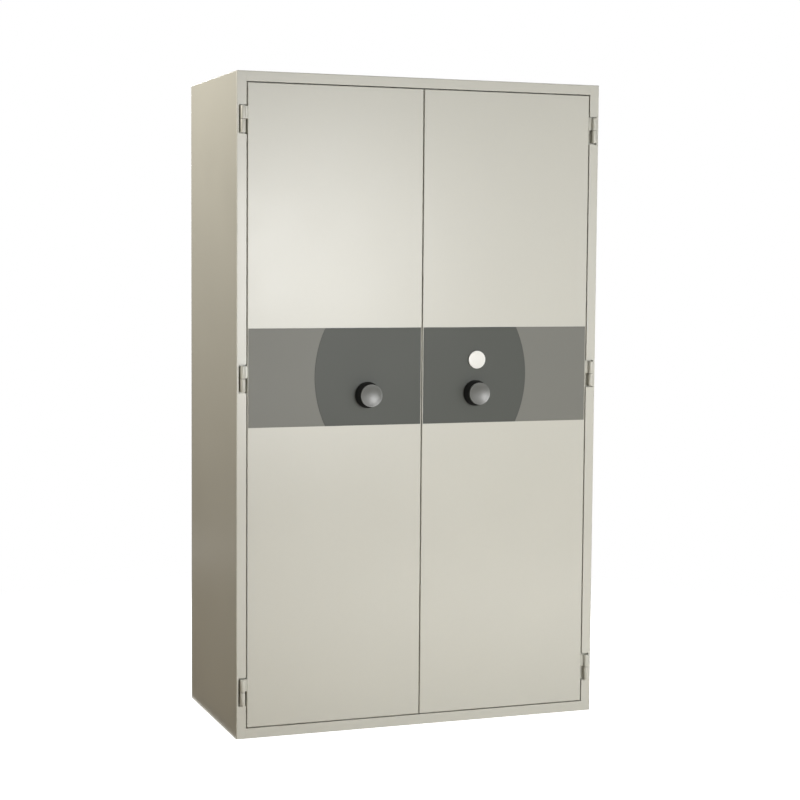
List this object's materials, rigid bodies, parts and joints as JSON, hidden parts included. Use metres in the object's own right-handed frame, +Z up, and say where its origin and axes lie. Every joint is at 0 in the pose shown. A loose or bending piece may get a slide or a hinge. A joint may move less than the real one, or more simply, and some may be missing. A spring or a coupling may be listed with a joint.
{
  "type": "fireproof cabinet",
  "caption": "Tall two-door fireproof cabinet with insulated doors, turning knobs that throw the bolts, a covered keyhole, pin hinges and shelves.",
  "frame": {"origin": "on the floor at the centre of the casing", "axes": "+X to the right as seen from the front, +Y from the doors to the back, +Z up"},
  "size_m": [1.15, 0.5906, 1.95],
  "materials": {
    "cream_paint": "satin powder coat",
    "lining_steel": "satin grey",
    "mineral_fill": "dull",
    "fire_seal": "dull",
    "zinc_steel": "zinc plated",
    "brass_fittings": "turned",
    "light_band": "satin",
    "dark_band": "satin",
    "knob_grey": "satin",
    "knob_black": "matt",
    "white_cover": "glossy"
  },
  "bodies": {
    "cabinet": {"left_side_panel": "cream_paint", "right_side_panel": "cream_paint", "top_panel": "cream_paint", "base_panel": "cream_paint", "back_panel": "cream_paint", "inner_liner": "lining_steel", "left_insulation": "mineral_fill", "right_insulation": "mineral_fill", "top_insulation": "mineral_fill", "base_insulation": "mineral_fill", "back_insulation": "mineral_fill", "frame_seal": "fire_seal", "bolt_keepers": "lining_steel", "shelf_uprights": "lining_steel", "shelf_clips": "zinc_steel", "shelf_1": "cream_paint", "shelf_2": "cream_paint", "shelf_3": "cream_paint", "shelf_4": "cream_paint", "frame_hinge_knuckles": "cream_paint", "hinge_pins": "zinc_steel"},
    "left_door": {"left_door_skin": "cream_paint", "left_door_core": "mineral_fill", "left_door_inner_pan": "lining_steel", "left_boltwork_cover": "cream_paint", "left_cover_screws": "zinc_steel", "left_light_panel": "light_band", "left_dark_panel": "dark_band", "left_edge_seal": "fire_seal", "left_spindle_bush": "brass_fittings", "left_hinge_knuckles": "cream_paint", "side_bolt_keeper": "lining_steel"},
    "right_door": {"right_door_skin": "cream_paint", "right_door_core": "mineral_fill", "right_door_inner_pan": "lining_steel", "right_boltwork_cover": "cream_paint", "right_cover_screws": "zinc_steel", "right_light_panel": "light_band", "right_dark_panel": "dark_band", "right_edge_seal": "fire_seal", "right_spindle_bush": "brass_fittings", "right_hinge_knuckles": "cream_paint", "lock_case": "zinc_steel", "key_escutcheon": "zinc_steel"},
    "left_knob": {"left_knob_cap": "knob_grey", "left_knob_skirt": "knob_black", "left_knob_spindle": "zinc_steel", "left_cam": "zinc_steel"},
    "left_upper_bolt": {"left_upper_bolt": "zinc_steel"},
    "left_lower_bolt": {"left_lower_bolt": "zinc_steel"},
    "right_knob": {"right_knob_cap": "knob_grey", "right_knob_skirt": "knob_black", "right_knob_spindle": "zinc_steel", "right_cam": "zinc_steel"},
    "right_upper_bolt": {"right_upper_bolt": "zinc_steel"},
    "right_lower_bolt": {"right_lower_bolt": "zinc_steel"},
    "side_bolts": {"side_bolts": "zinc_steel"},
    "key_cover": {"key_cover": "white_cover"},
    "lock_curtain": {"lock_curtain": "brass_fittings"},
    "lock_bolt": {"lock_bolt": "brass_fittings"}
  },
  "joints": [
    {"name": "left_door_hinge", "type": "hinge", "parent": "cabinet", "child": "left_door", "pos_m": [-0.5575, -0.283, 0.975], "axis": [0, 0, -1], "range_deg": [0, 180]},
    {"name": "right_door_hinge", "type": "hinge", "parent": "cabinet", "child": "right_door", "pos_m": [0.5575, -0.283, 0.975], "axis": [0, 0, 1], "range_deg": [0, 180]},
    {"name": "left_knob_turn", "type": "hinge", "parent": "left_door", "child": "left_knob", "pos_m": [-0.173, -0.3, 1.01], "axis": [0, 1, 0], "range_deg": [0, 90]},
    {"name": "left_upper_bolt_slide", "type": "slide", "parent": "left_door", "child": "left_upper_bolt", "axis": [0, 0, 1], "range_m": [0, 0.02405]},
    {"name": "left_lower_bolt_slide", "type": "slide", "parent": "left_door", "child": "left_lower_bolt", "axis": [0, 0, -1], "range_m": [0, 0.02405]},
    {"name": "right_knob_turn", "type": "hinge", "parent": "right_door", "child": "right_knob", "pos_m": [0.173, -0.3, 1.01], "axis": [0, -1, 0], "range_deg": [0, 90]},
    {"name": "right_upper_bolt_slide", "type": "slide", "parent": "right_door", "child": "right_upper_bolt", "axis": [0, 0, 1], "range_m": [0, 0.02405]},
    {"name": "right_lower_bolt_slide", "type": "slide", "parent": "right_door", "child": "right_lower_bolt", "axis": [0, 0, -1], "range_m": [0, 0.02405]},
    {"name": "side_bolts_slide", "type": "slide", "parent": "right_door", "child": "side_bolts", "axis": [-1, 0, 0], "range_m": [0, 0.03395]},
    {"name": "key_cover_swing", "type": "hinge", "parent": "right_door", "child": "key_cover", "pos_m": [0.176, -0.281, 1.131], "axis": [0, -1, 0], "range_deg": [-100, 100]},
    {"name": "lock_curtain_turn", "type": "hinge", "parent": "right_door", "child": "lock_curtain", "pos_m": [0.176, -0.22, 1.111], "axis": [0, 1, 0], "range_deg": [0, 90]},
    {"name": "lock_bolt_slide", "type": "slide", "parent": "right_door", "child": "lock_bolt", "axis": [0, 0, -1], "range_m": [0, 0.01415]}
  ],
  "couplings": [
    {"joint": "left_upper_bolt_slide", "follows": "left_knob_turn", "m_per_rad": 0.015305},
    {"joint": "left_lower_bolt_slide", "follows": "left_knob_turn", "m_per_rad": 0.015305},
    {"joint": "right_upper_bolt_slide", "follows": "right_knob_turn", "m_per_rad": 0.015305},
    {"joint": "right_lower_bolt_slide", "follows": "right_knob_turn", "m_per_rad": 0.015305},
    {"joint": "side_bolts_slide", "follows": "right_knob_turn", "m_per_rad": 0.021608},
    {"joint": "lock_bolt_slide", "follows": "lock_curtain_turn", "m_per_rad": 0.0090032}
  ]
}
